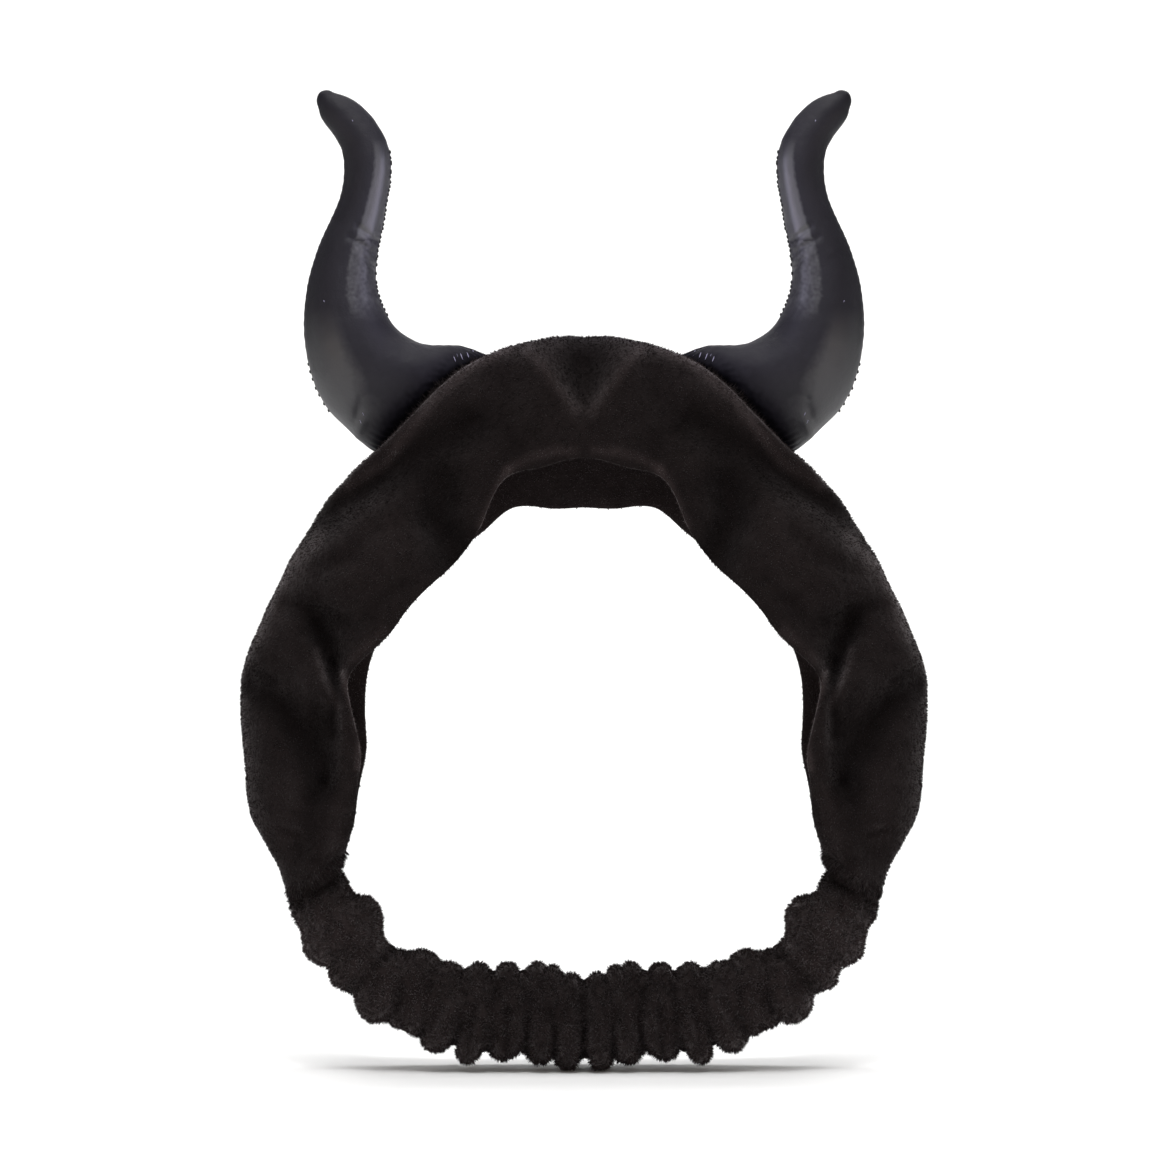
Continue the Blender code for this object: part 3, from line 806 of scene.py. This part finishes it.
def make_band(material):
    """The cupped band: its creases, its unevenness and its neck drawn over the gathered back."""
    piece = finer_copy("band", "band_plush", levels=2)
    refine_front(piece, FINER_FROM, FINER_TO)
    places, normals = places_and_normals(piece)
    lifts = wave_heights(places, BAND_WAVES, seed=3) - PILE_INSET
    places += normals * lifts[:, None]
    press_back(places, BAND_CREASES)
    share = np.clip(1 - before_neck(places) / NECK_BLEND, 0, 1)
    for side in (-1, 1):
        mine = places[:, 0] * side > 0
        centre = places[mine & (share > 0.5)].mean(0)
        places += (centre - places) * (mine * share**2 * LIP_SHRINK)[:, None]
    places += along_loop(places) * (share * NECK_OVERLAP)[:, None]
    put_places(piece, places)
    dress(piece, "band", material)
    add_pile(piece, BAND_PILE, painted_band_light, material, seed=3)
    places, _ = places_and_normals(piece)
    lip = before_neck(places) < NECK_TUFTS_REACH
    # The tufts at the neck take one even level of painted light
    nap_and_painted_light = evenly_painted_light(PAINTED_TUFT_LIGHT)
    grow_pile(piece, "neck_tufts", NECK_TUFTS, nap_and_painted_light, material, seed=7, part=lip)


def make_foot_fringe(material):
    """The band's pile stands up in a ragged fringe round the horns' feet."""
    piece = bpy.data.objects["band_plush"]
    covers = joined_bmesh(("horn_left_cover", "horn_right_cover"))
    tree = BVHTree.FromBMesh(covers)
    near = np.zeros(len(piece.data.vertices), bool)
    for vertex in piece.data.vertices:
        if vertex.co.z > FRINGE_LOWEST:
            nearest, normal, _, gap = tree.find_nearest(vertex.co)
            near[vertex.index] = gap < FRINGE_REACH and (vertex.co - nearest).dot(normal) > -FRINGE_TUCK
    covers.free()
    # The fringe takes one even level of painted light, darker than the plain cloth
    nap_and_painted_light = evenly_painted_light(PAINTED_FRINGE_LIGHT)
    grow_pile(piece, "foot_fringe", FOOT_FRINGE, nap_and_painted_light, material, seed=9, part=near)


def make_gathered_back(material):
    """The gathered back: its finer folds, and its mouths tucked into the band's necks."""
    piece = finer_copy("gathered_back", "gathered_plush", levels=2)
    ease_front(piece, EASED_ROUNDS)
    places, normals = places_and_normals(piece)
    lifts = wave_heights(places, BACK_WAVES, seed=5) + fold_heights(places) - PILE_INSET
    lifts -= crease_depths(places, GATHER_LUMPS) * np.sqrt(1 - np.clip(normals[:, 1] ** 2, 0, 1))
    places += normals * lifts[:, None]
    press_back(places, GATHER_CREASES)
    angles, _ = loop_angles(places)
    share = np.clip(1 + before_neck(places) / NECK_BLEND, 0, 1)
    for side in (-1, 1):
        mouth = (angles < angles.min() + MOUTH_RING) & (places[:, 0] * side > 0)
        centre = places[mouth].mean(0)
        mine = share * (places[:, 0] * side > 0)
        places += (centre - places) * (mine * MOUTH_SHRINK)[:, None]
        places -= along_loop(places) * (mine * MOUTH_TUCK)[:, None]
    put_places(piece, places)
    dress(piece, "gathered_back", material)
    add_pile(piece, BACK_PILE, painted_back_light, material, seed=5)


def mirrored(way, side):
    """A direction on the right horn, turned to the horn on the given side."""
    return np.array((side * way[0], way[1], way[2]))


def seam_depths(places):
    """The horn's two seams and the puckers beside them."""
    heights = places[:, 2]
    steps = np.linspace(heights.min(), heights.max(), SEAM_SLICES)
    slices = np.digitize(heights, steps)
    filled = [k for k in range(SEAM_SLICES) if (slices == k).any()]
    middle = np.interp(heights, steps[filled], [places[slices == k, 1].mean() for k in filled])
    aside = np.abs(places[:, 1] - middle)
    groove = SEAM_DEPTH * np.exp(-((aside / SEAM_WIDTH) ** 2))
    stitches = np.cos(math.tau * (heights - np.abs(places[:, 0])) / SEAM_SLANT / STITCH_PITCH)
    drawn = PUCKER_HEIGHT * stitches * np.exp(-((aside / PUCKER_REACH) ** 2)) - groove
    return drawn * np.clip((SEAM_TOP - heights) / SEAM_FADE, 0, 1)


def edge_lifts(normals, side):
    """The soft edge between the horn's front and its inner face."""
    edge = Vector(mirrored(EDGE_FACING, side)).normalized()
    away = np.arccos(np.clip(normals @ np.array(edge), -1, 1))
    return EDGE_LIFT * np.exp(-((away / EDGE_SPREAD) ** 2))


def tip_lifts(places, normals, side):
    """The tip isn't round: its cloth comes to a blunt corner, outwards and up."""
    towards = normals @ mirrored(TIP_FACING, side)
    corner = np.clip((towards - 0.5) * 2, 0, 1) ** TIP_SHARPNESS
    return TIP_LIFT * corner * np.clip((places[:, 2] - TIP_FROM) / TIP_FADE, 0, 1)


def gaps_to_band(places):
    """How far each place is from the band's solid."""
    band = bmesh.new()
    band.from_mesh(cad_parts["band"].data)
    solid = BVHTree.FromBMesh(band)
    gaps = np.array([solid.find_nearest(Vector(place))[3] for place in places])
    band.free()
    return gaps


def foot_lifts(places, gaps):
    """Pleats round the horn's foot, which fade up the horn from where it meets the band."""
    foot = places[gaps < FOOT_RIM].mean(0)
    out = places - foot
    turns = np.arctan2(out[:, 1], np.hypot(out[:, 0], out[:, 2]) * np.sign(out[:, 0]))
    fade = np.exp(-((gaps / FOOT_REACH) ** 2)) * (gaps > FOOT_PLEATS_FROM)
    return FOOT_PLEAT_HEIGHT * np.cos(FOOT_PLEATS * turns) * fade


def shine_of(places, normals, side, gaps):
    """The coat's painted highlight: on the inner face's strip, on the outer bulge, not at the foot."""
    heights = places[:, 2]
    ragged = wave_heights(places, SHINE_RAGS, seed=17)
    inwards = normals[:, 0] * -side
    up = np.clip((heights - STRIP_SMOOTH) / STRIP_NARROWING, 0, 1)
    strip_edge = STRIP_FROM + STRIP_NARROWS * up - STRIP_RAGS * ragged
    strip = np.clip((inwards - strip_edge) * STRIP_SHARPNESS, 0, 1)
    strip *= np.clip(STRIP_KEPT - STRIP_LOST_BEHIND * normals[:, 1], 0, 1)
    smooth = np.clip((heights - STRIP_SMOOTH) / MM, 0, 1)
    smooth *= np.clip((STRIP_TOP - heights) / STRIP_FADE, 0, 1)
    broken = np.clip((heights - STRIP_LOW) / STRIP_FADE, 0, 1) * (heights < STRIP_SMOOTH)
    broken *= STRIP_BROKEN[0] + STRIP_BROKEN[1] * ragged
    bulge_edge = BULGE_FROM - BULGE_RAGS * ragged
    bulge = np.clip((-inwards - bulge_edge) * BULGE_SHARPNESS, 0, 1)
    bulge *= np.clip((BULGE_TOP - heights) / BULGE_TOP, 0, 1)
    shine = SHINE_PLAIN + (SHINE_INNER - SHINE_PLAIN) * strip * np.clip(smooth + broken, 0, 1)
    shine += (SHINE_OUTER - SHINE_PLAIN) * bulge
    shine *= 1 - SHINE_LOST_UPWARDS * np.clip(normals[:, 2], 0, 1)
    return shine + (SHINE_FOOT - shine) * np.exp(-((gaps / DULL_REACH) ** 2))


def foot_shades(places, gaps):
    """How much of its colour the cloth keeps in the crevice between the horn's foot and the plush."""
    reach = CREVICE_REACH * (1 + wave_heights(places, CREVICE_RAGS, seed=23))
    return 1 - CREVICE_SHADE * np.exp(-((gaps / reach) ** 2))


def sew(name, stitches, material):
    """A row of stitches, each a small grain from one place to another."""
    mesh = bmesh.new()
    for start, end, thick in stitches:
        way = Vector(end) - Vector(start)
        turn = way.to_track_quat("Z", "Y").to_matrix().to_4x4()
        shape = Matrix.Diagonal((thick / 2, thick / 2, way.length / 2, 1))
        middle = Matrix.Translation((Vector(start) + Vector(end)) / 2)
        bmesh.ops.create_icosphere(mesh, subdivisions=1, radius=1, matrix=middle @ turn @ shape)
    data = bpy.data.meshes.new(name)
    mesh.to_mesh(data)
    mesh.free()
    data.shade_smooth()
    data.materials.append(material)
    made = new_object(name, data)
    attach(made, "root")


def seam_stitches(places, side):
    """The beaded seam down the horn's inner profile, and the short one low on its outer profile."""
    stitches = []
    half = np.array((0, 0, BEAD_LENGTH / 2))
    for beads in SEAM_BEADS:
        for height in np.arange(beads.low, beads.high, beads.pitch) * MM:
            level = places[np.abs(places[:, 2] - height) < BEAD_LEVEL]
            across = level[:, 0] * side
            spot = level[across.argmin() if beads.inner else across.argmax()]
            spot = spot - (0, BEAD_FORWARD, 0)
            stitches.append((spot - half, spot + half, BEAD_THICK))
    return stitches


def hand_stitches(cover, side):
    """The pale hand stitches that hold the horn's foot to the band, where they show in front."""
    mesh = joined_bmesh((cover, "band_plush"))
    tree = BVHTree.FromBMesh(mesh)
    stitches = []
    for stitch in HAND_STITCHES:
        ends = []
        for share in (-0.5, 0.5):
            across = side * (stitch.across + share * HAND_STITCH_SLANT * stitch.length) * MM
            start = Vector((across, IN_FRONT, (stitch.up + share * stitch.length) * MM))
            ends.append(tree.ray_cast(start, Vector((0, 1, 0)))[0])
        if None not in ends:
            stitches.append((ends[0], ends[1], HAND_STITCH_THICK))
    mesh.free()
    return stitches


def joined_bmesh(names):
    """The meshes of several pieces in one bmesh, which the caller frees."""
    mesh = bmesh.new()
    for name in names:
        mesh.from_mesh(bpy.data.objects[name].data)
    return mesh


def make_horn(node, name, side, material, seam_thread, pale_thread):
    """A stuffed horn in place of its solid."""
    piece = finer_copy(node, name, levels=4)
    places, normals = places_and_normals(piece)
    lifts = wave_heights(places, HORN_WAVES, seed=11) + edge_lifts(normals, side)
    lifts += seam_depths(places)
    lifts -= crease_depths(places, HORN_CREASES) * np.clip(-normals[:, 1] * 3, 0, 1)
    gaps = gaps_to_band(places)
    lifts += foot_lifts(places, gaps) + tip_lifts(places, normals, side)
    places += normals * lifts[:, None]
    put_places(piece, places)
    # The coat's painted shine, and the painted shade in the crevice at its foot
    shine = shine_of(places, normals, side, gaps)
    shades = foot_shades(places, gaps)
    put_attribute(piece.data, PAINTED_COAT_SHINE, shine * shades)
    put_attribute(piece.data, FOOT_SHADE, shades)
    dress(piece, node, material)
    sew(node + "_seam", seam_stitches(places, side), seam_thread)
    sew(node + "_hand_stitches", hand_stitches(name, side), pale_thread)


def make_stage():
    """A white paper sweep: it lies under the object, bends up behind it and goes on upwards."""
    mesh = bmesh.new()
    sides = (-SWEEP_HALF_WIDTH, SWEEP_HALF_WIDTH)
    edge = mesh.edges.new([mesh.verts.new((x, -SWEEP_FRONT, cad_low.z)) for x in sides])

    def draw_out(edge, way):
        drawn = bmesh.ops.extrude_edge_only(mesh, edges=[edge])["geom"]
        ends = [part for part in drawn if isinstance(part, bmesh.types.BMVert)]
        bmesh.ops.translate(mesh, verts=ends, vec=way)
        return next(part for part in drawn if isinstance(part, bmesh.types.BMEdge))

    edge = draw_out(edge, (0, SWEEP_FRONT + SWEEP_BACK, 0))
    bent = bmesh.ops.spin(
        mesh,
        geom=[*edge.verts, edge],
        cent=(0, SWEEP_BACK, cad_low.z + SWEEP_BEND),
        axis=(1, 0, 0),
        angle=math.pi / 2,
        steps=SWEEP_BEND_STEPS,
    )["geom_last"]
    draw_out(next(part for part in bent if isinstance(part, bmesh.types.BMEdge)), (0, 0, SWEEP_HEIGHT))
    bmesh.ops.recalc_face_normals(mesh, faces=mesh.faces)
    data = bpy.data.meshes.new("paper_sweep")
    mesh.to_mesh(data)
    mesh.free()
    data.shade_smooth()
    data.materials.append(white_paper("white_paper"))
    new_object("paper_sweep", data)


def add_softbox(softbox):
    """An area light that the camera doesn't see."""
    light = bpy.data.lights.new(softbox.name, "AREA")
    light.spread = math.radians(softbox.spread)
    light.shape = "RECTANGLE"
    light.size, light.size_y = softbox.size
    light.energy = softbox.power
    light.color = linear(softbox.colour)[:3]
    made = new_object(softbox.name, light)
    made.location = softbox.place
    way = Vector(softbox.aim) - Vector(softbox.place)
    made.rotation_euler = way.to_track_quat("-Z", "Y").to_euler()
    made.visible_camera = False


def light_studio():
    """A white room, which lights the object less than the camera sees of it, and the softboxes."""
    world = bpy.data.worlds.new("studio")
    world.use_nodes = True
    tree = world.node_tree
    room = tree.nodes["Background"]
    room.inputs["Color"].default_value = (1, 1, 1, 1)
    rays = add_node(tree, "ShaderNodeLightPath")
    seen = add_node(
        tree,
        "ShaderNodeMapRange",
        {"Value": rays.outputs["Is Camera Ray"], "To Min": ROOM_LIGHT, "To Max": ROOM_WHITE},
    )
    tree.links.new(seen.outputs["Result"], room.inputs["Strength"])
    bpy.context.scene.world = world
    for softbox in SOFTBOXES:
        add_softbox(softbox)


def add_camera():
    """The photograph's own view: straight from the front, its frame placed from the band's top."""
    data = bpy.data.cameras.new("camera")
    data.sensor_width = SENSOR
    data.lens = SENSOR * CAMERA_DISTANCE / (PHOTO_SIDE * PIXEL)
    camera = new_object("camera", data)
    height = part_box("band")[1].z - PHOTO_MIDDLE_DOWN * PIXEL
    camera.location = (PHOTO_MIDDLE_ACROSS * PIXEL, -CAMERA_DISTANCE, height)
    camera.rotation_euler = (math.pi / 2, 0, 0)
    bpy.context.scene.camera = camera


def main():
    add_camera()
    light_studio()
    make_stage()
    velour = plush("black_velour", "#100c0c", "#191414")
    satin = coated_satin("charcoal_coated_satin")
    woven = plain_cloth("black_woven_elastic", "#141314", 0.85)
    make_band(velour)
    make_gathered_back(velour)
    seam_thread = plain_cloth("black_seam_thread", "#0a0a0c", 0.7)
    pale_thread = plain_cloth("violet_grey_thread", "#8a86a0", 0.6)
    make_horn("horn_left", "horn_left_cover", -1, satin, seam_thread, pale_thread)
    make_horn("horn_right", "horn_right_cover", 1, satin, seam_thread, pale_thread)
    make_foot_fringe(velour)
    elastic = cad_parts["elastic"]
    elastic.data.materials.clear()
    elastic.data.materials.append(woven)
    bpy.context.scene.view_settings.view_transform = "Standard"


main()
